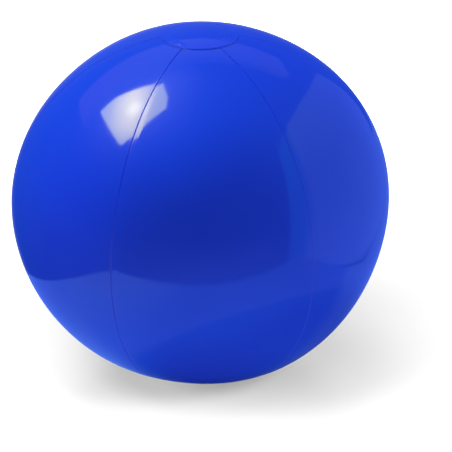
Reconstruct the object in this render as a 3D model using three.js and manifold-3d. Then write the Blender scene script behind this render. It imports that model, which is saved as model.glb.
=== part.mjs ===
import * as THREE from 'three';
import { mergeVertices } from 'three/addons/utils/BufferGeometryUtils.js';
import Module from 'manifold-3d';

// An inflated beach ball: film panels welded edge to edge, a disc over each pole and a push-in air valve.
// Millimetres, +Z up through the poles. The origin is the middle of the flat that the ball rests on.
// The valve is in the middle of the rear panel, and its axis is +Y.

// Ball
const equatorRadius = 140;
const poleRadius = 133.7; // the welded tips hold the poles in a little
const filmThickness = 0.25;
const weldGap = 0.3; // between two layers that are welded face to face
const seamFinDepth = 4; // the welded edges stand inside the ball
const seamValleyDepth = 0.8; // how far a seam lies below the round of its panels at the equator
const seamValleyWidth = 14; // on each side of the seam, at the equator
const panelNames = [
  'panel_front',
  'panel_front_right',
  'panel_rear_right',
  'panel_rear',
  'panel_rear_left',
  'panel_front_left',
];
const valvePanel = 'panel_rear';

// End discs
const discRadius = 27.5;
const discLap = 6.5; // width of the ring that is welded over the panels' tips
const topDiscCrown = 1; // how far the air lifts the disc inside its weld
const contactRadius = 15; // the flat that the ball's weight makes on a hard floor

// Valve: flange and neck
const valveHoleRadius = 9.9;
const flangeOuterRadius = 14;
const flangeLip = 0.4; // the flange reaches this far into the hole
const flangeThickness = 0.7;
const neckWall = 0.45;

// Valve: stem and the flap that closes its inner end
const stemBoreRadius = 3.2;
const stemWall = 1;
const stemLength = 11.5;
const rimRadius = 5.2;
const rimThickness = 1.2;
const neckSeat = 0.3; // bare stem left below the neck
const flapLap = 0.7; // the flap covers this much of the stem's end wall
const flapThickness = 0.5;

// Valve: stopper and strap
const stopperRecess = 0.5; // the closed stopper lies this far below the film's outer face
const headThickness = 1.2;
const headChamfer = 0.3;
const plugLength = 4;
const plugClearance = 0.25;
const strapReach = 1.4; // from the rim's edge to the middle of the strap's bend
const strapThickness = 0.6;
const strapWidth = 3;
const partGap = 0.3; // between valve pieces that meet

// Fineness of the facets
const panelChordError = 0.4;
const valvePanelChordError = weldGap / 4; // the flange lies close under this panel
const valleySteps = 2;
const discSides = 48;
const discRings = 4; // inside the weld
const valveSides = 32;
const plugSteps = 4;
const strapBendSteps = 8;

const wasm = await Module();
wasm.setup();

const filmBlue = new THREE.MeshStandardMaterial({ color: 0x1c46e4, roughness: 0.15, metalness: 0 });
const softClear = new THREE.MeshStandardMaterial({ color: 0xdfe3e6, roughness: 0.4, metalness: 0 });

// The ball's round is a family of spheroids. Level 0 is the film's outer face, and inside it is negative.
const radiusAt = (latitude, level) => (equatorRadius + level) * Math.cos(latitude);
const heightAt = (latitude, level) => (poleRadius + level) * Math.sin(latitude);
const latitudeOf = (radius, level) => Math.acos(radius / (equatorRadius + level));

// Height of a level above the ball's middle, at a distance from the polar axis.
const heightOver = (radius, level) => heightAt(latitudeOf(radius, level), level);

// Equal steps along an arc, enough to keep each facet within the chord error.
const stepsFor = (angle, chordError) => Math.ceil(angle / (2 * Math.acos(1 - chordError / equatorRadius)));

function toSolid(geometry) {
  const bare = geometry.clone();
  bare.deleteAttribute('normal');
  bare.deleteAttribute('uv');
  const merged = mergeVertices(bare);
  return new wasm.Manifold(new wasm.Mesh({
    numProp: 3,
    vertProperties: new Float32Array(merged.attributes.position.array),
    triVerts: new Uint32Array(merged.index.array),
  }));
}

function toGeometry(solid) {
  const mesh = solid.getMesh();
  const geometry = new THREE.BufferGeometry();
  geometry.setAttribute('position', new THREE.BufferAttribute(mesh.vertProperties, 3));
  geometry.setIndex(new THREE.BufferAttribute(mesh.triVerts, 1));
  geometry.computeVertexNormals();
  return geometry;
}

// A closed wall between two sheets of points with the same rows and columns: face outside, back inside.
function wallBetween(face, back) {
  const lastRow = face.length - 1;
  const lastColumn = face[0].length - 1;
  const columns = lastColumn + 1;
  const backStart = face.length * columns;
  const faceAt = (row, column) => row * columns + column;
  const backAt = (row, column) => backStart + faceAt(row, column);
  const index = [];
  const quad = (a, b, c, d) => index.push(a, b, c, a, c, d);
  for (let row = 0; row < lastRow; row++) {
    const next = row + 1;
    for (let column = 0; column < lastColumn; column++) {
      const right = column + 1;
      quad(faceAt(row, column), faceAt(row, right), faceAt(next, right), faceAt(next, column));
      index.push(backAt(row, column), backAt(next, right), backAt(row, right));
      index.push(backAt(row, column), backAt(next, column), backAt(next, right));
    }
    quad(faceAt(row, 0), faceAt(next, 0), backAt(next, 0), backAt(row, 0));
    const end = lastColumn;
    quad(faceAt(next, end), faceAt(row, end), backAt(row, end), backAt(next, end));
  }
  for (let column = 0; column < lastColumn; column++) {
    const right = column + 1;
    quad(faceAt(0, right), faceAt(0, column), backAt(0, column), backAt(0, right));
    quad(faceAt(lastRow, column), faceAt(lastRow, right), backAt(lastRow, right), backAt(lastRow, column));
  }
  const positions = [...face.flat(2), ...back.flat(2)];
  const geometry = new THREE.BufferGeometry();
  geometry.setAttribute('position', new THREE.Float32BufferAttribute(positions, 3));
  geometry.setIndex(index);
  geometry.computeVertexNormals();
  return geometry;
}

// One panel, centred on -Y: a pole-to-pole strip of film whose long edges turn inwards as fins.
// The columns follow the round, and close in towards each seam to draw its valley.
function panelGeometry(chordError) {
  const halfAngle = Math.PI / panelNames.length;
  const valleyAngle = seamValleyWidth / equatorRadius;
  const roundAngle = halfAngle - valleyAngle;
  const roundSteps = stepsFor(2 * roundAngle, chordError);
  const roundColumns = [];
  for (let step = 0; step <= roundSteps; step++) {
    roundColumns.push({ azimuth: roundAngle * ((2 * step) / roundSteps - 1), drop: 0 });
  }
  const rightColumns = [];
  for (let step = 1; step < valleySteps; step++) {
    const share = step / valleySteps;
    rightColumns.push({ azimuth: roundAngle + share * valleyAngle, drop: share ** 2 });
  }
  const leftColumns = rightColumns.map(({ azimuth, drop }) => ({ azimuth: -azimuth, drop })).reverse();
  const columns = [...leftColumns, ...roundColumns, ...rightColumns];

  const rimLatitude = latitudeOf(discRadius, 0);
  const tipLatitude = latitudeOf(discRadius - discLap, 0);
  const rows = stepsFor(2 * rimLatitude, chordError);
  const latitudes = [-tipLatitude];
  for (let row = 0; row <= rows; row++) {
    latitudes.push(rimLatitude * ((2 * row) / rows - 1));
  }
  latitudes.push(tipLatitude);

  const pointAt = (latitude, azimuth, level) => {
    const radius = radiusAt(latitude, level);
    return [radius * Math.sin(azimuth), -radius * Math.cos(azimuth), heightAt(latitude, level)];
  };
  const sheet = (depth, besideSeam) => latitudes.map((latitude) => {
    const valley = seamValleyDepth * Math.cos(latitude);
    const edgePoint = (side, level) => {
      const azimuth = halfAngle - Math.asin(besideSeam / radiusAt(latitude, level));
      return pointAt(latitude, side * azimuth, level);
    };
    const edgeLevel = -valley - depth;
    const finLevel = -valley - seamFinDepth;
    const across = columns.map(({ azimuth, drop }) => pointAt(latitude, azimuth, -valley * drop - depth));
    const left = [edgePoint(-1, finLevel), edgePoint(-1, edgeLevel)];
    const right = [edgePoint(1, edgeLevel), edgePoint(1, finLevel)];
    return [...left, ...across, ...right];
  });
  return wallBetween(sheet(0, weldGap / 2), sheet(filmThickness, weldGap / 2 + filmThickness));
}

// The rear panel has the round hole that the valve's neck shows through.
function valvePanelGeometry() {
  const drill = new THREE.CylinderGeometry(valveHoleRadius, valveHoleRadius, equatorRadius, valveSides);
  drill.translate(0, -equatorRadius, 0);
  return toGeometry(toSolid(panelGeometry(valvePanelChordError)).subtract(toSolid(drill)));
}

// An end disc, pole up: film laid over the panels' tips. Its outer face is given as a height over the radius.
function discGeometry(outerHeight) {
  const openRadius = discRadius - discLap;
  const radii = [];
  for (let ring = 0; ring < discRings; ring++) {
    radii.push((contactRadius * ring) / (discRings - 1));
  }
  radii.push((contactRadius + openRadius) / 2, openRadius, discRadius - discLap / 2, discRadius);
  const outer = radii.map((radius) => new THREE.Vector2(radius, outerHeight(radius)));
  const inner = outer.map(({ x, y }) => new THREE.Vector2(x, y - filmThickness));
  const geometry = new THREE.LatheGeometry([...inner, ...outer.reverse()], discSides);
  return geometry.rotateX(Math.PI / 2);
}

const discLevel = weldGap + filmThickness;
const restHeight = heightOver(contactRadius, discLevel); // from the floor to the ball's middle

function topDiscHeight(radius) {
  const inWeld = Math.min(radius / (discRadius - discLap), 1);
  return heightOver(radius, discLevel) + topDiscCrown * (1 - inWeld ** 2) ** 2;
}

function bottomDiscHeight(radius) {
  return Math.min(heightOver(radius, discLevel), restHeight);
}

// The valve's own frame: u runs outwards along +Y from the film's outer face, and r is from the valve's axis.
const latheOfValve = (profile) => {
  const points = profile.map(([r, u]) => new THREE.Vector2(r, u));
  return new THREE.LatheGeometry(points, valveSides);
};
const headTop = -stopperRecess;
const headBottom = headTop - headThickness;
const rimTop = headBottom - partGap;
const rimBottom = rimTop - rimThickness;
const stemEnd = rimTop - stemLength;
const stemRadius = stemBoreRadius + stemWall;
const flapRadius = stemBoreRadius + flapLap;
const flapTop = stemEnd - partGap;
const bendRadius = rimRadius + strapReach;
const headMiddle = (headTop + headBottom) / 2;
const rimMiddle = (rimTop + rimBottom) / 2;
const bendMiddle = (headMiddle + rimMiddle) / 2;

// The flange is a ring under the film, bowed like the panel's meridian.
const flangeInnerRadius = valveHoleRadius - flangeLip;
const meridianRadius = poleRadius ** 2 / equatorRadius;
const flangeFace = (r) => -filmThickness - weldGap - r ** 2 / (2 * meridianRadius);

function flangeGeometry() {
  const middle = (flangeInnerRadius + flangeOuterRadius) / 2;
  const radii = [flangeInnerRadius, middle, flangeOuterRadius];
  const face = radii.map((r) => [r, flangeFace(r)]);
  const back = radii.map((r) => [r, flangeFace(r) - flangeThickness]);
  return latheOfValve([...back, ...face.reverse(), back[0]]);
}

// The neck is a thin cone that carries the stem in the flange and turns inside out as the valve is pulled.
function neckGeometry() {
  const top = flangeFace(flangeInnerRadius);
  const bottom = stemEnd + neckSeat;
  const topRadius = flangeInnerRadius - partGap;
  const bottomRadius = stemRadius + partGap;
  const run = topRadius - bottomRadius;
  const rise = top - bottom;
  const slant = Math.hypot(run, rise);
  const wallAcross = (neckWall * slant) / rise;
  const wallAlong = (neckWall * slant) / run;
  return latheOfValve([
    [bottomRadius, bottom],
    [topRadius, top],
    [topRadius - wallAcross, top],
    [bottomRadius, bottom + wallAlong],
    [bottomRadius, bottom],
  ]);
}

function stemGeometry() {
  return latheOfValve([
    [stemBoreRadius, stemEnd],
    [stemRadius, stemEnd],
    [stemRadius, rimBottom],
    [rimRadius, rimBottom],
    [rimRadius, rimTop],
    [stemBoreRadius, rimTop],
    [stemBoreRadius, stemEnd],
  ]);
}

// The side of the plug is an arc about the strap's bend, so that it swings out of the bore.
function stopperGeometry() {
  const swing = bendRadius + stemBoreRadius - plugClearance;
  const plug = [];
  for (let step = plugSteps; step >= 0; step--) {
    const depth = (plugLength * step) / plugSteps;
    plug.push([Math.sqrt(swing ** 2 - depth ** 2) - bendRadius, headBottom - depth]);
  }
  return latheOfValve([
    [0, headBottom - plugLength],
    ...plug,
    [rimRadius, headBottom],
    [rimRadius, headTop - headChamfer],
    [rimRadius - headChamfer, headTop],
    [0, headTop],
  ]);
}

function flapGeometry() {
  const geometry = new THREE.CylinderGeometry(flapRadius, flapRadius, flapThickness, valveSides);
  return geometry.translate(0, flapTop - flapThickness / 2, 0);
}

// The strap is a band bent back on itself above the stem, from the rim's edge to the head's edge.
function strapGeometry() {
  const start = rimRadius + partGap;
  const half = strapThickness / 2;
  const bend = (headMiddle - rimMiddle) / 2;
  const outline = new THREE.Shape();
  outline.moveTo(start, rimMiddle - half);
  outline.lineTo(bendRadius, rimMiddle - half);
  outline.absarc(bendRadius, bendMiddle, bend + half, -Math.PI / 2, Math.PI / 2, false);
  outline.lineTo(start, headMiddle + half);
  outline.lineTo(start, headMiddle - half);
  outline.lineTo(bendRadius, headMiddle - half);
  outline.absarc(bendRadius, bendMiddle, bend - half, Math.PI / 2, -Math.PI / 2, true);
  outline.lineTo(start, rimMiddle + half);
  outline.closePath();
  const band = { depth: strapWidth, bevelEnabled: false, curveSegments: strapBendSteps };
  const geometry = new THREE.ExtrudeGeometry(outline, band);
  geometry.translate(0, 0, -strapWidth / 2);
  return geometry.rotateY(-Math.PI / 2);
}

function addPiece(group, name, geometry, material) {
  const mesh = new THREE.Mesh(geometry, material);
  mesh.name = name;
  group.add(mesh);
  return mesh;
}

const beachBall = new THREE.Group();
const ball = new THREE.Group();
ball.position.z = restHeight;
beachBall.add(ball);

const plainPanel = panelGeometry(panelChordError);
panelNames.forEach((name, turn) => {
  const geometry = name === valvePanel ? valvePanelGeometry() : plainPanel;
  addPiece(ball, name, geometry, filmBlue).rotation.z = (2 * Math.PI * turn) / panelNames.length;
});
addPiece(ball, 'top_end_disc', discGeometry(topDiscHeight), filmBlue);
addPiece(ball, 'bottom_end_disc', discGeometry(bottomDiscHeight), filmBlue).rotation.x = Math.PI;

const valve = new THREE.Group();
valve.position.y = equatorRadius;
ball.add(valve);
addPiece(valve, 'valve_flange', flangeGeometry(), softClear);
addPiece(valve, 'valve_neck', neckGeometry(), softClear);
addPiece(valve, 'valve_stem', stemGeometry(), softClear);
addPiece(valve, 'valve_flap', flapGeometry(), softClear);
addPiece(valve, 'valve_stopper', stopperGeometry(), softClear);
addPiece(valve, 'valve_strap', strapGeometry(), softClear);

export default beachBall;
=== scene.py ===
import math

import bpy
import numpy as np
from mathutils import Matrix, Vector


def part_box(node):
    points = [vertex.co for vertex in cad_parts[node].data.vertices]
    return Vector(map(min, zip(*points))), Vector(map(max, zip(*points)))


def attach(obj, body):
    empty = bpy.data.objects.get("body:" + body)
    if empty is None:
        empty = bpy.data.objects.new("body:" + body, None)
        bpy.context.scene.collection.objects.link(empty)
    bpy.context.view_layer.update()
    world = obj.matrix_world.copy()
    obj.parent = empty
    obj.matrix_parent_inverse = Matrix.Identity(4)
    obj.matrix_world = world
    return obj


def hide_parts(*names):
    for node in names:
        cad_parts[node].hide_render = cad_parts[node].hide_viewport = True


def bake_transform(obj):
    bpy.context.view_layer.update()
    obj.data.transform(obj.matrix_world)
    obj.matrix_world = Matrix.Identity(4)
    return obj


# A blown-up beach ball of blue film, dressed for its portrait. Shapes are worked out in millimetres.
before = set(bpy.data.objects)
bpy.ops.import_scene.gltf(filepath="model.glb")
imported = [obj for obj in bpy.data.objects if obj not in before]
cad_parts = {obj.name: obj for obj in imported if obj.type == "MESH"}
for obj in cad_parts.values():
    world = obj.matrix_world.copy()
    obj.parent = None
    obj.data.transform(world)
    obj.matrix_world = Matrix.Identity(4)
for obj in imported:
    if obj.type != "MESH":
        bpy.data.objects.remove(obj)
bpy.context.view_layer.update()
scene = bpy.context.scene
millimetre = 0.001

panelLow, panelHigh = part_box("panel_front")
ball = {
    "equatorRadius": 140.0,
    "poleRadius": 133.7,  # the welded tips hold the poles in a little
    "film": 0.25,  # thickness of the sheet
    "middleHeight": (panelLow.z + panelHigh.z) / 2 / millimetre,
}
ballPieces = []


# A point of the ball's round: the azimuth goes round the poles from the front, the latitude goes up from
# the equator, and the level is how far the point lies outside the film's outer face.
def roundPoint(azimuth, latitude, level):
    reach = (ball["equatorRadius"] + level) * np.cos(latitude)
    height = (ball["poleRadius"] + level) * np.sin(latitude)
    return np.stack([reach * np.sin(azimuth), -reach * np.cos(azimuth), height], axis=-1)


# A smooth ramp from 0 to 1 between two values, level at both ends.
def ramp(low, high, value):
    share = np.clip((value - low) / (high - low), 0, 1)
    return share * share * (3 - 2 * share)


# Quads of a grid of points, counted row by row; a wrapped grid joins its last column to its first.
def gridQuads(rows, columns, wrap=False):
    row, column = np.mgrid[0:rows - 1, 0:columns if wrap else columns - 1]
    right = (column + 1) % columns
    here, after = row * columns, (row + 1) * columns
    corners = [here + column, here + right, after + right, after + column]
    return np.stack(corners, axis=-1).reshape(-1, 4)


# Puts points in millimetres and groups of faces into a smooth mesh whose hard edges stay hard.
def makePiece(name, points, faceGroups, sharpAngle=40):
    numbers = np.concatenate([group.ravel() for group in faceGroups])
    used, renumbered = np.unique(numbers, return_inverse=True)
    faces, start = [], 0
    for group in faceGroups:
        faces += renumbered[start:start + group.size].reshape(group.shape).tolist()
        start += group.size
    mesh = bpy.data.meshes.new(name)
    mesh.from_pydata((points[used] * millimetre).tolist(), [], faces)
    mesh.update()
    mesh.shade_smooth()
    mesh.set_sharp_from_angle(angle=math.radians(sharpAngle))
    piece = bpy.data.objects.new(name, mesh)
    scene.collection.objects.link(piece)
    return piece, used


# Dresses a finished piece: its material, how much welding dulled each point, and the node it stands for,
# which it hides. A piece that rides on one body is attached to it; one given two bodies and places between
# them is baked where it stands.
def finishPiece(piece, node, body, material, dull=None):
    piece.data.materials.append(material)
    piece.visible_diffuse = False  # no blue falls on the white paper
    ballPieces.append(piece)
    if dull is not None:
        attribute = piece.data.attributes.new("weld", "FLOAT", "POINT")
        attribute.data.foreach_set("value", dull.astype(np.float32))
    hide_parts(node)
    if isinstance(body, str):
        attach(piece, body)
    else:
        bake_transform(piece)


# A closed film: the outer sheet, the inner sheet turned over, and a strip along each free edge of the sheet.
# A free edge is one that no second quad shares.
def filmFaces(quads, count):
    following = np.roll(quads, -1, axis=1)
    starts, ends = quads.ravel(), following.ravel()
    free = ~np.isin(starts * count + ends, ends * count + starts)
    starts, ends = starts[free], ends[free]
    strip = np.stack([ends, starts, starts + count, ends + count], axis=1)
    return [quads, quads[:, ::-1] + count, strip]


# A turned piece: a profile of (distance from the axis, place along it) carried round the axis. It runs
# outwards over the top and back underneath. From pole to pole it closes in fans, and otherwise on itself.
def turnedPoints(profile, sides, poles):
    ringed = profile[1:-1] if poles else profile
    turn = np.linspace(0, 2 * np.pi, sides, endpoint=False)
    reach, along = ringed[:, :1], ringed[:, 1:]
    ring = np.stack([reach * np.cos(turn), reach * np.sin(turn), along + 0 * turn], axis=-1)
    points = ring.reshape(-1, 3)
    rows = len(ringed)
    if not poles:
        around = np.concatenate([np.arange(rows), [0]])
        quads = gridQuads(rows + 1, sides, wrap=True)
        quads = around[quads // sides] * sides + quads % sides
        return points, [quads[:, ::-1]]
    points = np.concatenate([points, [[0, 0, profile[0, 1]], [0, 0, profile[-1, 1]]]])
    first = np.arange(sides)
    after = (first + 1) % sides
    last = (rows - 1) * sides
    topFan = np.stack([np.full(sides, rows * sides), first, after], axis=1)
    bottomFan = np.stack([np.full(sides, rows * sides + 1), last + after, last + first], axis=1)
    return points, [gridQuads(rows, sides, wrap=True)[:, ::-1], topFan, bottomFan]


# Rounds the corners of an outline: each is cut back along both sides, and a parabola bends from cut to cut.
# A supporting point stands a little before and after each bend, so that the flats shade flat. An open
# outline keeps its two end corners as they are.
def roundedOutline(corners, cuts, steps=6, closed=True, support=1.4):
    corners = np.array(corners, float)
    cuts = np.array(cuts, float)[:, None]
    toPrevious = np.roll(corners, 1, axis=0) - corners
    toNext = np.roll(corners, -1, axis=0) - corners
    toPrevious /= np.linalg.norm(toPrevious, axis=1, keepdims=True)
    toNext /= np.linalg.norm(toNext, axis=1, keepdims=True)
    share = np.linspace(0, 1, steps + 1)[None, :, None]
    before = (corners + toPrevious * cuts)[:, None]
    after = (corners + toNext * cuts)[:, None]
    bend = before * (1 - share) ** 2 + 2 * share * (1 - share) * corners[:, None] + after * share ** 2
    lead = (corners + support * toPrevious * cuts)[:, None]
    tail = (corners + support * toNext * cuts)[:, None]
    outline = np.concatenate([lead, bend, tail], axis=1).reshape(-1, 2)
    if not closed:
        perCorner = steps + 3
        outline = np.concatenate([corners[:1], outline[perCorner:-perCorner], corners[-1:]])
    return outline


# Adds a node: settings by attribute, then its inputs by name or place, each a value or another node's output.
# A colour mix has its two colours at inputs 6 and 7, and the mixed one at output 2.
def addNode(tree, kind, settings=None, inputs=None):
    node = tree.nodes.new(kind)
    for key, value in (settings or {}).items():
        setattr(node, key, value)
    for key, value in (inputs or {}).items():
        if isinstance(value, bpy.types.NodeSocket):
            tree.links.new(value, node.inputs[key])
        else:
            node.inputs[key].default_value = value
    return node


# An sRGB hex colour as linear numbers, with full alpha.
def hexToLinear(text):
    channels = np.array([int(text[place:place + 2], 16) for place in (1, 3, 5)]) / 255
    low, high = channels / 12.92, ((channels + 0.055) / 1.055) ** 2.4
    return (*np.where(channels <= 0.04045, low, high), 1.0)


# Scale of a pattern whose features are so many millimetres apart.
def scaleOf(spacing):
    return 1 / (spacing * millimetre)


def newMaterial(name):
    material = bpy.data.materials.new(name)
    material.use_nodes = True
    material.node_tree.nodes.clear()
    return material, material.node_tree


# What both kinds of PVC share: noise patterns, a colour that one of them mixes from two, and a roughness that
# follows one of them from value to value over its middle range.
def patternedPvc(name, look):
    material, tree = newMaterial(name)
    place = addNode(tree, "ShaderNodeTexCoord").outputs["Object"]
    pattern = {}
    for kind, (spacing, detail) in look["patterns"].items():
        noise = addNode(tree, "ShaderNodeTexNoise", inputs={
            "Vector": place, "Scale": scaleOf(spacing), "Detail": detail})
        pattern[kind] = noise.outputs["Fac"]
    mixer, first, second = look["colour"]
    colour = addNode(tree, "ShaderNodeMix", {"data_type": "RGBA"}, {
        "Factor": pattern[mixer], 6: hexToLinear(first), 7: hexToLinear(second)})
    guide, (low, high), (smooth, rough) = look["roughness"]
    roughness = addNode(tree, "ShaderNodeMapRange", inputs={
        "Value": pattern[guide], "From Min": low, "From Max": high, "To Min": smooth, "To Max": rough})
    return material, tree, pattern, colour.outputs[2], roughness.outputs["Result"]


filmLook = {
    "patterns": {  # millimetres between features, then how much finer detail they carry
        "cloud": (70.0, 3),  # patches of thicker pigment
        "haze": (22.0, 5),  # patches that handling dulled
        "grain": (2.4, 2),  # calender grain, drawn coarser than its 0.3 mm so that it shows
        "wave": (26.0, 1),  # slack in the sheet
    },
    "colour": ("cloud", "#203EDE", "#2345EA"),
    "roughness": ("haze", (0.35, 0.7), (0.075, 0.105)),
    "weldRoughness": 0.4,  # added where a welding tool pressed
    "ior": 1.53,  # plasticised PVC
    "gloss": 1.0,  # specular level
    "weldGloss": 0.2,  # specular level in the seams' welds
    "grainHeight": 0.0015,
    "waveHeight": 0.02,
}


# Calendered PVC film, pigmented blue: a wet-looking gloss over a deep colour, with mirror-like reflections
# that a faint grain and slack in the sheet make a little soft. Where it was welded, its shine is faint and
# broad.
def calenderedBlueFilm(name, gloss):
    look = filmLook
    material, tree, pattern, colour, hazed = patternedPvc(name, look)
    weld = addNode(tree, "ShaderNodeAttribute", {"attribute_name": "weld"}).outputs["Fac"]
    roughness = addNode(tree, "ShaderNodeMath", {"operation": "MULTIPLY_ADD"}, {
        0: weld, 1: look["weldRoughness"], 2: hazed})
    slack = addNode(tree, "ShaderNodeBump", inputs={
        "Height": pattern["wave"], "Distance": look["waveHeight"] * millimetre})
    bump = addNode(tree, "ShaderNodeBump", inputs={
        "Height": pattern["grain"], "Distance": look["grainHeight"] * millimetre,
        "Normal": slack.outputs["Normal"]})
    shader = addNode(tree, "ShaderNodeBsdfPrincipled", inputs={
        "Base Color": colour, "Roughness": roughness.outputs["Value"], "IOR": look["ior"],
        "Specular IOR Level": gloss, "Normal": bump.outputs["Normal"]})
    addNode(tree, "ShaderNodeOutputMaterial", inputs={"Surface": shader.outputs["BSDF"]})
    return material


valveLook = {
    "patterns": {"mottle": (3.0, 3), "grain": (0.5, 2)},  # spacing and detail, as for the film
    "colour": ("mottle", "#C9D3DE", "#DCE3EA"),
    "roughness": ("mottle", (0.3, 0.7), (0.28, 0.42)),
    "ior": 1.52,
    "subsurface": 0.35,
    "depth": 1.2,  # millimetres that light goes into it
    "depthShares": (1.0, 0.9, 0.8),  # of that depth, for red, green and blue light
    "grainHeight": 0.004,
}


# Injection-moulded soft PVC: milky and a little see-through at its thin edges, with the satin of a
# spark-eroded mould.
def mouldedSoftPvc():
    look = valveLook
    material, tree, pattern, colour, roughness = patternedPvc("moulded_milky_soft_pvc", look)
    bump = addNode(tree, "ShaderNodeBump", inputs={
        "Height": pattern["grain"], "Distance": look["grainHeight"] * millimetre})
    shader = addNode(tree, "ShaderNodeBsdfPrincipled", inputs={
        "Base Color": colour, "Roughness": roughness, "IOR": look["ior"],
        "Subsurface Weight": look["subsurface"], "Subsurface Scale": look["depth"] * millimetre,
        "Subsurface Radius": look["depthShares"], "Normal": bump.outputs["Normal"]})
    addNode(tree, "ShaderNodeOutputMaterial", inputs={"Surface": shader.outputs["BSDF"]})
    return material


blueFilm = calenderedBlueFilm("calendered_blue_pvc_film", filmLook["gloss"])
weldedFilm = calenderedBlueFilm("hot_welded_blue_pvc_film", filmLook["weldGloss"])
softPvc = mouldedSoftPvc()
print("materials made:", blueFilm.name, weldedFilm.name, softPvc.name)

# Film panels, pole to pole. A panel runs round to its seams, sinks into a valley there, and turns inwards.
panelForm = {
    "names": ["panel_front", "panel_front_right", "panel_rear_right",
              "panel_rear", "panel_rear_left", "panel_front_left"],
    "valvePanel": "panel_rear",
    "halfGap": 0.004,  # from the seam's middle to each film, as the weld holds them together
    "foldRadius": 0.4,  # of the film's turn into the seam
    "foldTurn": 55.0,  # degrees of that turn, to where the weld fills the seam
    "finDepth": 4.0,  # of the welded edges inside
    "valleyDepth": 0.2,  # at the equator
    "valleyWidth": 6.0,  # of the stiff weld beside the seam, at the equator
    "valleyShares": (1.0, 0.2),  # how much of the valley a panel's left edge and its right edge have
    "tipReach": 21.0,  # from the polar axis to the tips, under the discs
    "poleZone": 76.0,  # latitude past which the rows are finer
    "rows": (191, 25),  # between the pole zones, and in each of them
    "columns": {"round": 49, "valley": 10, "fold": 7, "fin": 3},  # on each half
    "rimGroove": {"reach": 28.2, "depth": 0.2, "width": 0.55},  # pressed in by the disc's weld
    "dullReach": 0.45,  # how far the seam's heat dulled the film
    "weldedFrom": 0.4,  # how dull a face is where the welded film begins
    "crease": 0.9,  # how far the seams stand out past a panel's middle, as panels are flatter than the round
    # Places where the sheet is fuller or slacker: azimuth, latitude and spread in degrees, then the lift.
    "slack": [(78, -18, 26, -2.4), (41, -58, 16, 0.6), (-27, -64, 16, -1.05),
              (-118, 43, 20, -0.8), (106, 36, 22, 1.3)],
    # Places where the pieces were laid aside: azimuth, latitude and spread in degrees, then the shift.
    "drift": [(-30, 56, 24, -1.05), (30, 72, 10, -1.6)],
    "tightZone": (66.0, 76.0),  # latitudes over which the discs' welds hold the film to the round
}
halfAngle = math.pi / len(panelForm["names"])
tipLatitude = math.acos(panelForm["tipReach"] / ball["equatorRadius"])


# One half of a panel's section at each latitude, from its middle to the fin: each column's azimuth, depth and
# distance from the seam. In the valley the depth grows evenly towards the seam; the fold is part of a circle.
def halfSection(latitude, inset, valleyShare):
    form = panelForm
    columns = form["columns"]
    reach = ball["equatorRadius"] * np.cos(latitude)
    valleyAngle = form["valleyWidth"] / ball["equatorRadius"]
    valley = form["valleyDepth"] * valleyShare * np.cos(latitude)
    foldTurn = math.radians(form["foldTurn"])
    foldStart = form["halfGap"] + form["foldRadius"] * math.sin(foldTurn)
    bend = form["foldRadius"] - inset

    share = np.linspace(0, 1, columns["valley"] + 1)[1:]
    turn = np.linspace(0, foldTurn, columns["fold"] + 1)[1:]
    drop = np.linspace(form["foldRadius"], form["finDepth"], columns["fin"] + 1)[1:]
    roundAzimuth = np.linspace(0, halfAngle - valleyAngle, columns["round"]) + 0 * latitude
    valleyAzimuth = halfAngle - (1 - share) * valleyAngle - share * foldStart / reach
    turnedAside = np.concatenate([foldStart - bend * np.sin(turn), form["halfGap"] + inset + 0 * drop])
    turnedDepth = valley + np.concatenate([form["foldRadius"] - bend * np.cos(turn), drop])
    turnedAzimuth = halfAngle - turnedAside / (reach - turnedDepth * np.cos(latitude))
    azimuth = np.concatenate([roundAzimuth, valleyAzimuth, turnedAzimuth], axis=1)
    depth = np.concatenate([inset + 0 * roundAzimuth, inset + valley * share, turnedDepth], axis=1)
    return azimuth, depth, (halfAngle - azimuth) * reach


# The sum of bells, each over the angle from the middle of its place.
def bells(places, azimuth, latitude):
    total = 0
    for place in places:
        turn, rise, spread = np.radians(place[:3])
        near = (np.cos(latitude) * math.cos(rise) * np.cos(azimuth - turn)
                + np.sin(latitude) * math.sin(rise))
        angle = np.arccos(np.clip(near, -1, 1))
        total = total + place[3] * np.exp(-(angle / spread) ** 2)
    return total


# How far the film stands off the plain round: the square of the way from a panel's middle to its seams, which
# dies with the fourth power of the latitude's cosine, and the fuller and slacker places. It all dies away
# towards the discs.
def filmLift(across, azimuth, latitude):
    form = panelForm
    crease = form["crease"] * np.cos(latitude) ** 4 * (across / halfAngle) ** 2
    lift = crease + bells(form["slack"], azimuth, latitude)
    return lift * (1 - ramp(*np.radians(form["tightZone"]), np.abs(latitude)))


# The angle by which the film was laid aside: the bells' shift over the distance from the polar axis.
def filmDrift(azimuth, latitude):
    return bells(panelForm["drift"], azimuth, latitude) / (ball["equatorRadius"] * np.cos(latitude))


# Depth of the ring that the disc's weld pressed into the panels: a bell of the distance from the polar axis.
def rimGroove(latitude):
    groove = panelForm["rimGroove"]
    off = (ball["equatorRadius"] * np.cos(latitude) - groove["reach"]) / groove["width"]
    return groove["depth"] * np.exp(-off ** 2)


# A whole panel's sheet, centred on the front, in rows from pole to pole: a left half and a right half, whose
# valleys differ.
def panelSheet(inset):
    zone = math.radians(panelForm["poleZone"])
    middleRows, zoneRows = panelForm["rows"]
    cap = np.linspace(zone, tipLatitude, zoneRows)[1:]
    latitude = np.concatenate([-cap[::-1], np.linspace(-zone, zone, middleRows), cap])[:, None]
    left, right = (halfSection(latitude, inset, share) for share in panelForm["valleyShares"])
    azimuth = np.concatenate([-left[0][:, :0:-1], right[0]], axis=1)
    depth = np.concatenate([left[1][:, :0:-1], right[1]], axis=1) + rimGroove(latitude)
    aside = np.concatenate([left[2][:, :0:-1], right[2]], axis=1)
    return azimuth, latitude + 0 * azimuth, depth, aside


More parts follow.
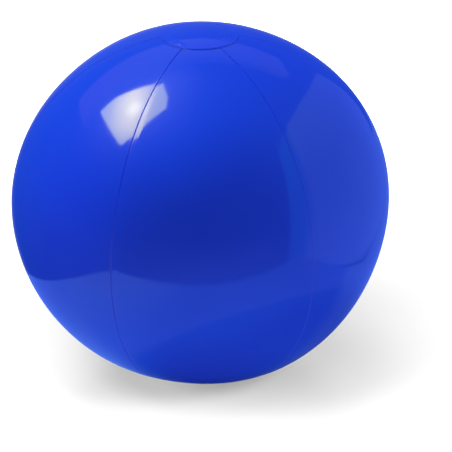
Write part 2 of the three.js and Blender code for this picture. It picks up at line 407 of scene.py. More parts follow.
# The valve's hole in the rear panel, with the film welded to the flange around it.
holeForm = {
    "radius": 9.9,
    "lip": ((0.12, 0.0), (0.05, 0.02), (0.0, 0.1)),  # its rounded edge: outside the hole, below the face
    "lipLead": 0.3,  # from the last plain ring to the lip
    "weldRaise": 0.12,  # the film over the flange stands this much proud
    "shoulderRadii": (13.4, 14.8),  # where it comes down again
    "weldRadii": (10.6, 13.1),  # between which the weld is ridged
    "ridges": 3,
    "ridgeHeight": 0.05,
    "ridgeFade": (0.3, 0.2),  # outside and inside those radii
    "window": 19.0,  # half the square that rings of finer quads fill
    "rings": 30,
    "fromSeams": 24.0,  # far enough off them to be dulled by none
}


# Height of the film's outer face around the valve, by distance from its axis: a raised ring with a smooth
# shoulder, and ridges that are a cosine of the distance.
def weldRelief(radius):
    form = holeForm
    inner, outer = form["weldRadii"]
    outside, inside = form["ridgeFade"]
    ridge = np.cos(2 * np.pi * (radius - inner) / (outer - inner) * form["ridges"])
    begin = ramp(inner - outside, inner + inside, radius)
    window = begin * (1 - ramp(outer - inside, outer + outside, radius))
    raised = form["weldRaise"] * (1 - ramp(*form["shoulderRadii"], radius))
    return raised + form["ridgeHeight"] * ridge * window


# The rings of quads between a square of the panel's grid and the valve's round hole: straight lines run from
# the square's rim to the circle, and every point is then lifted back on to the round.
def holeRings(azimuth, latitude, inset):
    form = holeForm
    edge = ball["equatorRadius"] * np.cos(latitude) * np.sin(azimuth)
    rise = ball["poleRadius"] * np.sin(latitude)
    angle = np.arctan2(rise, edge)
    lip, lipDepth = np.array(form["lip"]).T
    share = np.linspace(0, 1, form["rings"] + 1)[1:-len(lip), None]
    start = form["radius"] + lip[0] + form["lipLead"]
    across = (1 - share) * edge + share * start * np.cos(angle)
    up = (1 - share) * rise + share * start * np.sin(angle)
    radii = (form["radius"] + lip)[:, None]
    across = np.concatenate([across, radii * np.cos(angle)])
    up = np.concatenate([up, radii * np.sin(angle)])
    depth = np.concatenate([0 * share + 0 * edge, lipDepth[:, None] + 0 * edge])
    depth = np.where(depth > 0, np.maximum(depth, inset), inset)
    ringLatitude = np.arcsin(up / ball["poleRadius"])
    ringAzimuth = np.arcsin(across / (ball["equatorRadius"] * np.cos(ringLatitude)))
    return ringAzimuth, ringLatitude, depth - weldRelief(np.hypot(across, up))


# Cuts a square out of the panel's quads around the valve, and fills it with rings in both sheets.
def cutForValve(outer, inner, quads):
    rows, columns = outer[0].shape
    reach = np.abs(ball["equatorRadius"] * np.sin(outer[0][rows // 2]))
    rise = np.abs(ball["poleRadius"] * np.sin(outer[1][:, 0]))
    inColumns = np.flatnonzero(reach < holeForm["window"])
    inRows = np.flatnonzero(rise < holeForm["window"])
    left, right, low, high = inColumns[0], inColumns[-1], inRows[0], inRows[-1]
    rowOf, columnOf = quads[:, 0] // columns, quads[:, 0] % columns
    cut = (rowOf >= low) & (rowOf < high) & (columnOf >= left) & (columnOf < right)
    across, upwards = np.arange(left, right), np.arange(low, high)
    rim = np.concatenate([low * columns + across, upwards * columns + right,
                          high * columns + across[::-1] + 1, (upwards[::-1] + 1) * columns + left])
    rings = [holeRings(sheet[0].ravel()[rim], sheet[1].ravel()[rim], inset)
             for sheet, inset in ((outer, 0.0), (inner, ball["film"]))]
    ringQuads = gridQuads(len(rings[0][0]) + 1, len(rim), wrap=True)
    numbers = np.concatenate([rim, rows * columns + np.arange(rings[0][0].size)])
    return np.concatenate([quads[~cut], numbers[ringQuads]]), rings


# A panel is its two sheets, turned round the polar axis to its place, lifted by the film's slack and sunk by
# each point's own depth.
def buildPanel(turnCount, name):
    form = panelForm
    outer = panelSheet(0.0)
    inner = panelSheet(ball["film"])
    quads = gridQuads(*outer[0].shape)
    aside = outer[3].ravel()
    sheets = [[part.ravel() for part in sheet[:3]] for sheet in (outer, inner)]
    if name == form["valvePanel"]:
        quads, rings = cutForValve(outer, inner, quads)
        sheets = [[np.concatenate([flat, part.ravel()]) for flat, part in zip(sheet, ring)]
                  for sheet, ring in zip(sheets, rings)]
        aside = np.concatenate([aside, np.full(rings[0][0].size, holeForm["fromSeams"])])
    points = []
    for across, latitude, depth in sheets:
        azimuth = across + 2 * halfAngle * turnCount
        level = filmLift(across, azimuth, latitude) - depth
        points.append(roundPoint(azimuth + filmDrift(azimuth, latitude), latitude, level))
    points = np.concatenate(points)
    points[:, 2] += ball["middleHeight"]
    faceGroups = filmFaces(quads, len(aside))
    piece, used = makePiece(name + "_film", points, faceGroups)
    dull = np.exp(-np.concatenate([aside, aside]) / form["dullReach"])
    finishPiece(piece, name, "ball", blueFilm, dull[used])
    piece.data.materials.append(weldedFilm)
    welded = dull[np.concatenate(faceGroups)].mean(axis=1) > form["weldedFrom"]
    piece.data.polygons.foreach_set("material_index", welded.astype(np.int32))
    print("panel", name, len(piece.data.polygons), "faces")


for turnCount, name in enumerate(panelForm["names"]):
    buildPanel(turnCount, name)

# End discs, lap-welded over the panels' tips.
discForm = {
    "radius": 27.5,
    "lap": 6.5,  # width of the weld over the panels' tips
    "lapDull": 0.2,  # how much the welding dulled it
    "lapFade": 0.5,  # half the width over which that begins
    "topCrown": 0.1,  # how far the air lifts the disc inside its weld
    "contactRadius": 15.0,  # the flat on the floor
    "contactLevel": 0.55,
    "rimLevel": 0.27,
    "rimDropFrom": 17.0,  # where the face starts down to the rim's level
    "ripple": {
        "zone": (16.0, 26.0),  # distances from the axis
        "fades": (1.5, 0.5),  # half the widths over which it begins and ends
        "count": 3.5,
        "depth": 0.06,
        "azimuth": 85,  # of the side where it is deepest
        "spread": 40,
        "least": 0.15,  # share of the depth on the far side
    },
    "rimBead": {"reach": 26.4, "width": 0.55, "height": 0.18},  # that the welding tool left
    "seamDip": {"depth": 0.12, "spread": 2.0},  # where the rim crosses a seam
    # Small puckers in the top disc's weld: azimuth, distance from the axis, spread, height.
    "puckers": [(-49, 23.6, 1.8, 0.35), (-41, 24.2, 1.4, 0.7), (-33, 24.0, 1.8, 0.35)],
    "sides": 336,
    "fineFrom": 20.0,  # past this distance the rings are closer
    "rings": (41, 61, 9),  # up to there, from there to the rim, and over its round lip
    "innerStep": 4,  # the hidden face has fewer rings
}
flatLatitude = math.acos(discForm["contactRadius"] / (ball["equatorRadius"] + discForm["contactLevel"]))
discFlat = (ball["poleRadius"] + discForm["contactLevel"]) * math.sin(flatLatitude)


# Height of a disc's outer face over the ball's middle, by distance from the polar axis. The rim's bead is a
# bell of that distance, and the air crowns the open middle with a squared parabola.
def discHeight(radius, onFloor):
    form = discForm
    drop = ramp(form["rimDropFrom"], form["radius"], radius)
    level = form["rimLevel"] + (form["contactLevel"] - form["rimLevel"]) * (1 - drop)
    latitude = np.arccos(np.clip(radius / (ball["equatorRadius"] + level), 0, 1))
    height = (ball["poleRadius"] + level) * np.sin(latitude)
    bead = form["rimBead"]
    height = height + bead["height"] * np.exp(-((radius - bead["reach"]) / bead["width"]) ** 2)
    if onFloor:
        return np.minimum(height, discFlat)
    inWeld = np.clip(radius / (form["radius"] - form["lap"]), 0, 1)
    return height + form["topCrown"] * (1 - inWeld ** 2) ** 2


# Ripples round the disc are a cosine of the distance from the axis, deepest towards one side.
def rippleHeight(reach, azimuth):
    form = discForm["ripple"]
    low, high = form["zone"]
    begin, end = form["fades"]
    wave = np.cos(2 * np.pi * form["count"] * (reach - low) / (high - low))
    window = ramp(low - begin, low + begin, reach) * (1 - ramp(high - end, high + end, reach))
    aside = (np.degrees(azimuth) - form["azimuth"]) / form["spread"]
    return form["depth"] * wave * window * (form["least"] + (1 - form["least"]) * np.exp(-aside ** 2))


# Each pucker is a small bell over the distance from its middle.
def puckerHeight(points):
    height = 0
    for azimuth, reach, spread, rise in discForm["puckers"]:
        turn = math.radians(azimuth)
        away = np.hypot(points[:, 0] - reach * math.sin(turn), points[:, 1] + reach * math.cos(turn))
        height = height + rise * np.exp(-(away / spread) ** 2)
    return height


# A disc is a turned film with a round lip. Its dip over a seam is a bell of the distance from the seam, and
# grows across the lap. The bottom disc is turned over.
def buildDisc(node, onFloor):
    form = discForm
    lipRadius = ball["film"] / 2
    coarse, fine, lipRings = form["rings"]
    radii = np.concatenate([np.linspace(0, form["fineFrom"], coarse),
                            np.linspace(form["fineFrom"], form["radius"] - lipRadius, fine)[1:]])
    outer = np.stack([radii, discHeight(radii, onFloor)], axis=1)
    inner = (outer - [0, ball["film"]])[::-form["innerStep"]]
    angle = np.linspace(math.pi / 2, -math.pi / 2, lipRings)[1:-1]
    lip = np.stack([np.cos(angle), np.sin(angle)], axis=1) * lipRadius
    lip += [outer[-1, 0], outer[-1, 1] - lipRadius]
    profile = np.concatenate([outer, lip, inner])
    points, faces = turnedPoints(profile, form["sides"], poles=True)
    reach = np.hypot(points[:, 0], points[:, 1])
    azimuth = np.arctan2(points[:, 0], -points[:, 1])
    fromSeam = (azimuth / (2 * halfAngle)) % 1 - 0.5
    overSeam = np.exp(-(fromSeam * 2 * halfAngle * reach / form["seamDip"]["spread"]) ** 2)
    lapStart = form["radius"] - form["lap"]
    points[:, 2] -= form["seamDip"]["depth"] * overSeam * ramp(lapStart, form["radius"], reach)
    if onFloor:
        points *= [1, -1, -1]
    else:
        points[:, 2] += puckerHeight(points) + rippleHeight(reach, azimuth)
    points[:, 2] += ball["middleHeight"]
    piece, used = makePiece(node + "_film", points, faces)
    dull = form["lapDull"] * ramp(lapStart - form["lapFade"], lapStart + form["lapFade"], reach)[used]
    finishPiece(piece, node, "ball", blueFilm, dull)
    print("disc", node, len(piece.data.polygons), "faces")


for node, onFloor in (("top_end_disc", False), ("bottom_end_disc", True)):
    buildDisc(node, onFloor)


# Valve pieces. They are worked out about the valve's axis, with u outwards from the film's outer face, and
# that axis is then laid along +Y. The valve is pushed in, as the ball is used.
def toValve(points):
    placed = points[:, [0, 2, 1]] * [1, 1, -1]
    placed[:, 1] += ball["equatorRadius"]
    placed[:, 2] += ball["middleHeight"]
    return placed


# A point on the valve's axis, in metres.
def axisPoint(u):
    return toValve(np.array([[0, 0, u]]))[0] * millimetre


# Turns a profile into a piece of the valve and dresses it.
def turnedValvePiece(name, node, body, profile, poles, sides=96):
    points, faces = turnedPoints(profile, sides, poles)
    piece = makePiece(name, toValve(points), faces)[0]
    finishPiece(piece, node, body, softPvc)


flangeForm = {
    "inner": 9.5, "outer": 14.0, "face": -0.27, "thickness": 0.98, "cut": 0.25,
    "bow": 127.68,  # radius of the panel's curve from pole to pole there
}


# The flange is a flat ring, bowed like the panel above it: the square of the distance from its axis, over
# twice the bow's radius.
def buildFlange():
    form = flangeForm
    low = form["face"] - form["thickness"]
    corners = [(form["inner"], form["face"]), (form["outer"], form["face"]),
               (form["outer"], low), (form["inner"], low)]
    profile = roundedOutline(corners, [form["cut"]] * len(corners))
    profile[:, 1] -= profile[:, 0] ** 2 / (2 * form["bow"])
    turnedValvePiece("valve_flange_ring", "valve_flange", "ball", profile, poles=False)


neckForm = {
    "top": (9.25, -0.75),  # distance from the axis, and u
    "bottom": (4.25, -13.2),
    "wall": 0.45, "ripple": 0.12, "ripples": 3, "rows": 60,
    "foot": 0.5,  # the stretch at its foot
}


# The neck is a thin cone with soft folds: a straight run from rim to foot, rippled by a sine that dies at
# both ends.
def buildNeck():
    form = neckForm
    top, bottom = np.array(form["top"]), np.array(form["bottom"])
    share = np.linspace(0, 1, form["rows"])[:, None]
    run = bottom - top
    aside = np.array([run[1], -run[0]]) / np.linalg.norm(run)
    fold = form["ripple"] * np.sin(2 * np.pi * form["ripples"] * share) * np.sin(np.pi * share)
    wallMiddle = top + share * run + fold * aside
    half = form["wall"] / 2
    profile = np.concatenate([wallMiddle - half * aside, (wallMiddle + half * aside)[::-1]])
    start = axisPoint(top[1])
    end = axisPoint(bottom[1] + form["foot"])
    turnedValvePiece("valve_neck_cone", "valve_neck", ("ball", "stem", start, end), profile, poles=False)


stemForm = {"bore": 3.2, "outer": 4.2, "end": -13.5,
            "rim": 5.2, "rimTop": -2.0, "rimThickness": 1.2, "cut": 0.3}


# The stem is a tube with a rim at its outer end, turned from a rounded outline.
def buildStem():
    form = stemForm
    rimBottom = form["rimTop"] - form["rimThickness"]
    corners = [(form["bore"], form["rimTop"]), (form["rim"], form["rimTop"]), (form["rim"], rimBottom),
               (form["outer"], rimBottom), (form["outer"], form["end"]), (form["bore"], form["end"])]
    profile = roundedOutline(corners, [form["cut"]] * len(corners))
    turnedValvePiece("valve_stem_tube", "valve_stem", "stem", profile, poles=False)


flapForm = {"radius": 3.9, "top": -13.8, "thickness": 0.5, "cut": 0.18}


# The flap is a flat disc under the stem's inner end, turned from a rounded outline.
def buildFlap():
    form = flapForm
    low = form["top"] - form["thickness"]
    corners = [(0, form["top"]), (form["radius"], form["top"]), (form["radius"], low), (0, low)]
    profile = roundedOutline(corners, [form["cut"]] * len(corners), closed=False)
    turnedValvePiece("valve_flap_disc", "valve_flap", "flap", profile, poles=True)


stopperForm = {
    "radius": 5.2, "top": -0.5, "bottom": -1.7,
    "dish": 0.3,  # depth of the hollow in the head
    "dishRadius": 3.4,
    "dishWall": 0.5,  # width of the slope round it
    "plugLength": 4.0,
    "plugSteps": 9,
    "swing": 9.55,  # radius of the plug's arc about the strap's bend
    "bend": 6.6,  # from the valve's axis to that bend
    "headCut": 0.6,  # of the head's outer edge, which has to pass the neck
    "edgeCut": 0.25,
    "rootCut": 0.2,  # where the plug leaves the head
    "plugCut": 0.12,
    "tipCut": 0.3,
}


# The stopper's plug bulges as an arc about the strap's bend, so that it swings clear of the bore.
def buildStopper():
    form = stopperForm
    depth = np.linspace(0, form["plugLength"], form["plugSteps"])
    bulge = np.sqrt(form["swing"] ** 2 - depth ** 2) - form["bend"]
    plug = np.stack([bulge, form["bottom"] - depth], axis=1)
    dishFloor = form["top"] - form["dish"]
    head = [(0, dishFloor), (form["dishRadius"] - form["dishWall"], dishFloor),
            (form["dishRadius"], form["top"]), (form["radius"], form["top"]),
            (form["radius"], form["bottom"])]
    corners = np.concatenate([head, plug, [(0, form["bottom"] - form["plugLength"])]])
    edge = form["edgeCut"]
    headCuts = [edge, edge, edge, form["headCut"], edge]
    plugCuts = [form["rootCut"], *[form["plugCut"]] * (len(plug) - 2), form["tipCut"], edge]
    profile = roundedOutline(corners, headCuts + plugCuts, closed=False)
    turnedValvePiece("valve_stopper_cap", "valve_stopper", "stopper", profile, poles=True)


# A flat band along a path of (height, u) in the valve's middle plane: a rounded section carried along it, as
# wide as its taper says, with its ends closed.
def bandAlong(name, path, form, taper):
    w, t = form["width"] / 2, form["thickness"] / 2
    section = roundedOutline([(-w, -t), (w, -t), (w, t), (-w, t)], [form["cut"]] * 4, steps=4)
    along = np.gradient(path, axis=0)
    along /= np.linalg.norm(along, axis=1, keepdims=True)
    normal = np.stack([-along[:, 1], along[:, 0]], axis=1)
    side = section[None, :, 0] * taper[:, None]
    lift = section[None, :, 1]
    up = path[:, :1] + normal[:, :1] * lift
    out = path[:, 1:] + normal[:, 1:] * lift
    points = np.stack([side, -up, out + 0 * side], axis=-1).reshape(-1, 3)
    count = len(section)
    ends = [np.arange(count)[None, ::-1], (np.arange(count) + (len(path) - 1) * count)[None, :]]
    return makePiece(name, toValve(points), [gridQuads(len(path), count, wrap=True), *ends])[0]


strapForm = {
    "start": 5.0,  # distance of its two ends from the valve's axis
    "bendAt": 6.6, "low": -2.6, "high": -1.1, "thickness": 0.6, "width": 3.0, "cut": 0.18,
    "straightSteps": 8, "arcSteps": 25,
    "stiff": 0.3,  # how far its two places lie in from the ends of its height
}


# The strap leaves the stem's rim, bends back in a half circle and comes in to the stopper's head.
def buildStrap():
    form = strapForm
    bend = (form["high"] - form["low"]) / 2
    bendHeight = (form["high"] + form["low"]) / 2
    turn = np.linspace(-math.pi / 2, math.pi / 2, form["arcSteps"])
    arc = np.stack([form["bendAt"] + bend * np.cos(turn), bendHeight + bend * np.sin(turn)], axis=1)
    straight = np.linspace(form["start"], form["bendAt"], form["straightSteps"])[:-1]
    lower = np.stack([straight, 0 * straight + form["low"]], axis=1)
    upper = np.stack([straight[::-1], 0 * straight + form["high"]], axis=1)
    path = np.concatenate([lower, arc, upper])
    piece = bandAlong("valve_strap_band", path, form, np.ones(len(path)))
    start = axisPoint(form["low"] + form["stiff"])
    end = axisPoint(form["high"] - form["stiff"])
    finishPiece(piece, "valve_strap", ("stem", "stopper", start, end), softPvc)


tabForm = {
    "start": 4.6,  # distances from the valve's axis
    "reach": 7.1,
    "u": -1.05, "thickness": 0.7, "width": 3.0, "cut": 0.2, "steps": 20,
    "roundFrom": 0.4,  # share of its length where the end begins to round
    "roundOver": 0.62,  # a little more than what is left, so that the end is blunt
}


# The finger tab that lifts the stopper, opposite the strap: its width falls off as a circle at the free end.
def buildTab():
    form = tabForm
    share = np.linspace(0, 1, form["steps"])
    reach = form["start"] + share * (form["reach"] - form["start"])
    path = np.stack([-reach, 0 * reach + form["u"]], axis=1)
    rounding = np.clip((share - form["roundFrom"]) / form["roundOver"], 0, 1)
    taper = np.sqrt(np.clip(1 - rounding ** 2, 0, 1))
    piece = bandAlong("valve_stopper_tab", path, form, taper)
    piece.data.materials.append(softPvc)
    ballPieces.append(piece)
    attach(piece, "stopper")


for build in (buildFlange, buildNeck, buildStem, buildFlap, buildStopper, buildStrap, buildTab):
    build()
print("valve pieces made")

# Studio. Cards that only reflections see are flat outlines in metres; the paper floor holds the shadow.
middle = Vector((0, 0, ball["middleHeight"] * millimetre))


# A flat face of the studio.
def stageMesh(name, corners, material):
    mesh = bpy.data.meshes.new(name)
    mesh.from_pydata(corners, [], [list(range(len(corners)))])
    mesh.materials.append(material)
    card = bpy.data.objects.new(name, mesh)
    scene.collection.objects.link(card)
    return card


# The corners of an outline that lies level.
def levelCorners(form):
    return [(x, y, form["height"]) for x, y in form["outline"]]


# A level that runs from one value to another along a direction, or smoothly with the distance from a point.
def gradient(tree, kind, anchor, places, levels):
    operation, easing = {"along": ("DOT_PRODUCT", "LINEAR"), "from": ("DISTANCE", "SMOOTHSTEP")}[kind]
    place = addNode(tree, "ShaderNodeTexCoord").outputs["Object"]
    measure = addNode(tree, "ShaderNodeVectorMath", {"operation": operation}, {0: place, 1: anchor})
    run = addNode(tree, "ShaderNodeMapRange", {"interpolation_type": easing}, {
        "Value": measure.outputs["Value"], "From Min": places[0], "From Max": places[1],
        "To Min": levels[0], "To Max": levels[1]})
    return run.outputs["Result"]


# A card glows only in reflections. Its levels are multiplied together, and its tints lie over one another.
def reflectedCard(name, corners, form):
    material, tree = newMaterial(name + "_glow")
    level = 1.0
    for settings in form["levels"]:
        level = addNode(tree, "ShaderNodeMath", {"operation": "MULTIPLY"}, {
            0: level, 1: gradient(tree, *settings)}).outputs["Value"]
    tint = hexToLinear(form["tint"])
    for shade, *settings in form["tints"]:
        tint = addNode(tree, "ShaderNodeMix", {"data_type": "RGBA"}, {
            "Factor": gradient(tree, *settings), 6: tint, 7: hexToLinear(shade)}).outputs[2]
    glow = addNode(tree, "ShaderNodeEmission", inputs={"Color": tint, "Strength": level}).outputs["Emission"]
    if form.get("sheer"):
        through = addNode(tree, "ShaderNodeBsdfTransparent").outputs["BSDF"]
        glow = addNode(tree, "ShaderNodeAddShader", inputs={0: glow, 1: through}).outputs["Shader"]
    addNode(tree, "ShaderNodeOutputMaterial", inputs={"Surface": glow})
    material.cycles.emission_sampling = "NONE"
    card = stageMesh(name, corners, material)
    card.visible_camera = False
    card.visible_diffuse = False
    card.visible_shadow = False


# The table that the ball's underside mirrors: a card whose glow is painted light, with the ball's shadow on
# it painted in as shade and a deeper blue.
tableForm = {
    "height": -0.0004,
    "outline": [(-0.20, 0.09), (-0.29, -0.08), (-0.365, -0.23), (-0.375, -0.34), (-0.29, -0.377),
                (-0.14, -0.438), (0.0, -0.478), (0.29, -0.505), (0.52, -0.505), (0.40, -0.2),
                (0.31, -0.06), (0.28, 0.03), (0.62, 0.8), (0.3, 0.8)],
    "tint": "#487AFF",
    "tints": [("#6A98FF", "along", (1, 0, 0), (-0.08, -0.25), (0.0, 1.0)),
              # painted shade: a deeper blue where the ball's shadow lies on the table
              ("#0C66FF", "from", (0.08, -0.085, 0.0), (0.14, 0.16), (1.0, 0.0)),
              ("#5F8EFF", "along", (0, 1, 0), (-0.08, -0.04), (0.0, 1.0)),
              ("#5A82FF", "along", (0, 1, 0), (-0.04, 0.05), (0.0, 1.0))],
    "levels": [("from", (-0.02, -0.32, 0.0), (0.08, 0.36), (1.12, 0.9)),  # painted light, brightest towards its front
               ("from", (0.0, -0.085, 0.0), (0.01, 0.10), (0.0, 1.0)),  # painted shadow of the ball, darkest right under it
               ("from", (0.09, -0.065, 0.0), (0.06, 0.185), (0.36, 1.0)),  # painted shade of the ball around that
               ("along", (1, 0, 0), (-0.12, -0.03), (1.22, 1.0)),  # painted light, brighter on the left
               ("along", (0.143, 0.99, 0), (-0.46, -0.40), (0.2, 1.0))],  # soft at the front edge
}
reflectedCard("painted_table_light", levelCorners(tableForm), tableForm)

# A board that stands on the right and shows in that side's panel, as a card whose glow is painted light and
# shade.
boardForm = {
    "at": 0.5,
    "outline": [(-0.585, -0.01), (-0.37, -0.024), (0.0, -0.11), (0.16, -0.147), (0.28, -0.144),
                (0.46, -0.085), (0.67, 0.12), (0.66, 0.43), (0.43, 0.526), (0.18, 0.63), (-0.10, 0.72),
                (-0.30, 0.735), (-0.35, 0.66), (-0.40, 0.545), (-0.46, 0.425), (-0.51, 0.28), (-0.565, 0.05)],
    "tint": "#2679FF",
    "tints": [("#5F88FF", "along", (0, 0.94, -0.35), (-0.44, -0.35), (0.0, 1.0)),
              ("#5276FF", "along", (0, 1, 0), (0.1, 0.6), (0.0, 1.0))],
    "levels": [("along", (0, 1, 0), (-0.56, -0.40), (0.82, 1.05)),  # painted shade, darker at the front edge
               ("along", (0, 0, 1), (0.35, 0.65), (1.0, 1.45)),  # painted light, brighter at the top
               ("along", (0, 0, 1), (-0.15, -0.09), (0.55, 1.0))],  # painted shade, darker at the foot
}
reflectedCard("painted_board_light", [(boardForm["at"], y, z) for y, z in boardForm["outline"]], boardForm)

# The softbox up on the left, whose lamp makes its middle brightest.
softboxForm = {
    "at": (-0.579, 0.1375, 1.1795),
    "outline": [(0.187, -0.405), (0.263, -0.23), (0.29, 0.1), (0.292, 0.23), (0.06, 0.306),
                (-0.11, 0.306), (-0.275, 0.09), (-0.375, -0.05), (-0.406, -0.26)],
    "tint": "#A8B6CA",
    "tints": [("#FFFBCE", "from", (-0.555, 0.272, 1.175), (0.0, 0.35), (1.0, 0.0)),
              ("#FFFBCE", "from", (-0.643, 0.028, 1.158), (0.0, 0.40), (0.88, 0.0)),
              ("#A8B6CA", "along", (0.846, -0.201, 0.494), (0.013, 0.339), (0.0, 1.0))],
    "levels": [("from", (-0.598, 0.135, 1.169), (0.0, 0.155), (10.9, 7.8))],
}
softboxAt = Vector(softboxForm["at"])
softboxFace = (middle - softboxAt).normalized()
softboxSide = Vector((0, 0, 1)).cross(softboxFace).normalized()
softboxUp = softboxFace.cross(softboxSide)
softboxCorners = [softboxAt + softboxSide * u + softboxUp * v for u, v in softboxForm["outline"]]
reflectedCard("softbox", softboxCorners, softboxForm)

# A strip of sheer white cloth under the ceiling, behind the ball.
ceilingForm = {
    "height": 1.6,
    "outline": [(-2.2, 0.8), (-0.5, 0.88), (0.06, 0.88), (0.58, 0.93), (1.13, 1.1), (1.36, 1.47),
                (1.3, 2.3), (-0.43, 2.25), (-2.3, 2.4)],
    "sheer": True,
    "tint": "#FFFFFF",
    "tints": [("#FFC898", "along", (1, 0, 0), (-0.4, -1.2), (0.0, 1.0))],
    "levels": [("along", (1, 0, 0), (-0.1, 0.9), (0.16, 0.1)),  # fainter on the right
               ("along", (0, 1, 0), (0.85, 1.35), (0.3, 1.0))],  # and at its near edge
}
reflectedCard("ceiling_strip", levelCorners(ceilingForm), ceilingForm)

# White paper: matt, holding the ball's soft shadow, and plain white to the camera away from it.
paperForm = {
    "height": -0.0002,
    "outline": [(-4.0, -4.0), (4.0, -4.0), (4.0, 4.0), (-4.0, 4.0)],
    "white": "#EDEDED",
    "away": ("from", (0.03, 0.0, 0.0), (0.14, 0.45), (0.0, 1.0)),  # where it turns plain white
    "glow": 0.62,  # soft light that the ball gets from below
}


def whitePaper():
    form = paperForm
    material, tree = newMaterial("matt_white_paper")
    path = addNode(tree, "ShaderNodeLightPath")
    paper = addNode(tree, "ShaderNodeBsdfDiffuse", inputs={"Color": hexToLinear(form["white"])})
    far = addNode(tree, "ShaderNodeEmission", inputs={"Strength": gradient(tree, *form["away"])})
    seen = addNode(tree, "ShaderNodeAddShader", inputs={0: paper.outputs["BSDF"], 1: far.outputs["Emission"]})
    below = addNode(tree, "ShaderNodeEmission", inputs={"Strength": form["glow"]})
    both = addNode(tree, "ShaderNodeMixShader", inputs={
        0: path.outputs["Is Diffuse Ray"], 1: seen.outputs["Shader"], 2: below.outputs["Emission"]})
    addNode(tree, "ShaderNodeOutputMaterial", inputs={"Surface": both.outputs["Shader"]})
    material.cycles.emission_sampling = "NONE"
    return material


floor = stageMesh("white_floor", levelCorners(paperForm), whitePaper())
floor.visible_glossy = False

# Soft lamps: place, width and depth in metres, then watts. The ball and the paper have lamps of their own, so
# that the paper can be white while the ball's colour shows as it is.
ballLamps = {
    "overhead_lamp": ((0.0, 0.0, 1.3), 0.9, 0.9, 3.5),
    "back_lamp": ((0.0, 0.9, 1.0), 1.4, 0.8, 9.4),
    "left_lamp": ((-1.2, 0.2, 0.4), 0.8, 0.8, 4.9),
    "right_lamp": ((1.0, 0.0, 0.4), 0.8, 0.8, 3.6),
    "front_lamp": ((0.0, -1.3, 0.18), 1.6, 0.3, 4.1),
}
paperLamps = {
    "paper_low_lamp": ((0.0, -1.27, 0.32), 0.35, 0.35, 25.7),
    "paper_left_lamp": ((-1.25, -0.22, 0.32), 0.8, 0.8, 16.8),
    "paper_back_lamp": ((-0.29, 0.79, 1.05), 0.8, 0.8, 6.5),
    "paper_far_lamp": ((0.0, 1.2, 0.54), 0.35, 0.35, 5.6),
    "paper_right_lamp": ((0.69, -0.82, 0.8), 0.35, 0.35, 6.9),
    "paper_front_lamp": ((0.0, -0.84, 1.05), 0.8, 0.8, 4.4),
    "paper_near_lamp": ((-0.54, -0.64, 1.05), 0.35, 0.35, 3.2),
    "paper_top_lamp": ((0.0, -0.23, 1.33), 0.35, 0.35, 1.7),
}


def areaLamp(name, place, width, depth, power, receivers):
    lamp = bpy.data.lights.new(name, "AREA")
    lamp.shape = "RECTANGLE"
    lamp.size, lamp.size_y, lamp.energy = width, depth, power
    lamp.cycles.use_multiple_importance_sampling = False  # so that the ball shades the paper fully
    light = bpy.data.objects.new(name, lamp)
    light.location = place
    light.rotation_mode = "QUATERNION"
    light.rotation_quaternion = (middle - light.location).to_track_quat("-Z", "Y")
    scene.collection.objects.link(light)
    light.visible_glossy = False
    light.visible_camera = False
    light.light_linking.receiver_collection = receivers


litBall = bpy.data.collections.new("lit_ball")
litPaper = bpy.data.collections.new("lit_paper")
litPaper.objects.link(floor)
for piece in ballPieces:
    litBall.objects.link(piece)
for lamps, receivers in ((ballLamps, litBall), (paperLamps, litPaper)):
    for name, settings in lamps.items():
        areaLamp(name, *settings, receivers)

# The room is white to the camera and gives matt surfaces no light. In reflections it has a few soft glows,
# each a power of the cosine to its direction: direction, sharpness, level and tint.
roomGlows = [
    ((0, 0, 1), 3, 2.5, "#1450FF"),
    ((-0.35, -0.5, 0.79), 6, 0.75, "#1446FF"),
    ((-1, 0, 0.3), 4, 0.95, "#0000FF"),
    ((-0.68, 0.32, 0.68), 2, 2.4, "#1A5EFF"),
    ((0, -0.5, -0.87), 3, 1.0, "#4870FF"),
    ((1, 0.3, 0.5), 3, 0.9, "#2F66FF"),
    ((0, 1, 0), 2, 0.6, "#2062FF"),
    ((-0.08, 1, 0.15), 14, 0.06, "#FFFFFF"),
    ((0.3, 0.75, 0.55), 10, 0.4, "#0000FF"),
    ((0, 0.94, -0.34), 40, 0.3, "#FFFFFF"),
    ((-0.48, 0.17, 0.86), 14, 0.4, "#FFFFFF"),
    ((-0.22, 0.4, 0.89), 40, 0.12, "#FFFFFF"),
]


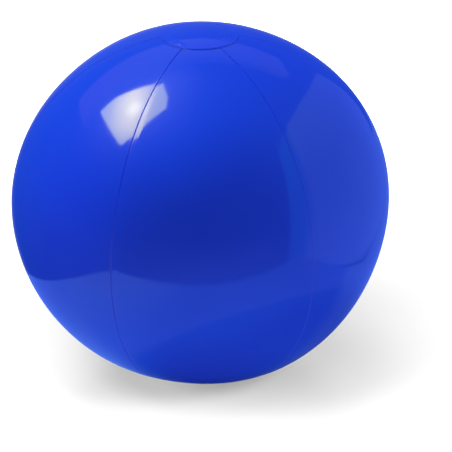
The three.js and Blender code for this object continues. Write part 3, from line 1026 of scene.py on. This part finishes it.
def studioRoom():
    world = bpy.data.worlds.new("studio_room")
    world.use_nodes = True
    world.cycles.sampling_method = "NONE"
    tree = world.node_tree
    tree.nodes.clear()
    path = addNode(tree, "ShaderNodeLightPath")
    outwards = addNode(tree, "ShaderNodeTexCoord").outputs["Generated"]
    total = (0, 0, 0)
    for direction, sharpness, level, tint in roomGlows:
        cosine = addNode(tree, "ShaderNodeVectorMath", {"operation": "DOT_PRODUCT"}, {
            0: outwards, 1: Vector(direction).normalized()})
        facing = addNode(tree, "ShaderNodeMath", {"operation": "MAXIMUM"}, {
            0: cosine.outputs["Value"], 1: 0.0})
        lobe = addNode(tree, "ShaderNodeMath", {"operation": "POWER"}, {
            0: facing.outputs["Value"], 1: sharpness})
        colour = [level * channel for channel in hexToLinear(tint)[:3]]
        glow = addNode(tree, "ShaderNodeVectorMath", {"operation": "SCALE"}, {
            0: colour, "Scale": lobe.outputs["Value"]})
        total = addNode(tree, "ShaderNodeVectorMath", {"operation": "ADD"}, {
            0: total, 1: glow.outputs["Vector"]}).outputs["Vector"]
    seen = addNode(tree, "ShaderNodeMix", {"data_type": "RGBA"}, {
        "Factor": path.outputs["Is Glossy Ray"], 6: hexToLinear("#FFFFFF"), 7: total})
    unlit = addNode(tree, "ShaderNodeMath", {"operation": "SUBTRACT"}, {
        0: 1.0, 1: path.outputs["Is Diffuse Ray"]})
    room = addNode(tree, "ShaderNodeBackground", inputs={
        "Color": seen.outputs[2], "Strength": unlit.outputs["Value"]})
    addNode(tree, "ShaderNodeOutputWorld", inputs={"Surface": room.outputs["Background"]})
    return world


scene.world = studioRoom()
scene.view_settings.view_transform = "Standard"
print("studio lit")

# Camera: a long lens from a little above, with the ball up and left of the picture's middle.
portrait = {
    "azimuth": -3.5,  # degrees round from the front panel's middle
    "elevation": 24.5,
    "distance": 1.576,
    "lens": 168.6,
    "sensor": 36.0,
    "imageSize": 452,  # pixels
    "ballAt": (201.6, 202.26),  # pixel of the ball's middle
}


def placeCamera():
    form = portrait
    azimuth, elevation = math.radians(form["azimuth"]), math.radians(form["elevation"])
    level = math.cos(elevation)
    back = Vector((math.sin(azimuth) * level, -math.cos(azimuth) * level, math.sin(elevation)))
    right = Vector((math.cos(azimuth), math.sin(azimuth), 0))
    up = back.cross(right)
    pixel = form["sensor"] / form["imageSize"] * form["distance"] / form["lens"]
    across = (form["imageSize"] / 2 - form["ballAt"][0]) * pixel
    down = (form["imageSize"] / 2 - form["ballAt"][1]) * pixel
    aim = middle + right * across - up * down
    data = bpy.data.cameras.new("portrait_camera")
    data.lens, data.sensor_width = form["lens"], form["sensor"]
    camera = bpy.data.objects.new("portrait_camera", data)
    camera.location = middle + back * form["distance"]
    camera.rotation_mode = "QUATERNION"
    camera.rotation_quaternion = (aim - camera.location).to_track_quat("-Z", "Y")
    scene.collection.objects.link(camera)
    scene.camera = camera


placeCamera()
print("camera placed")
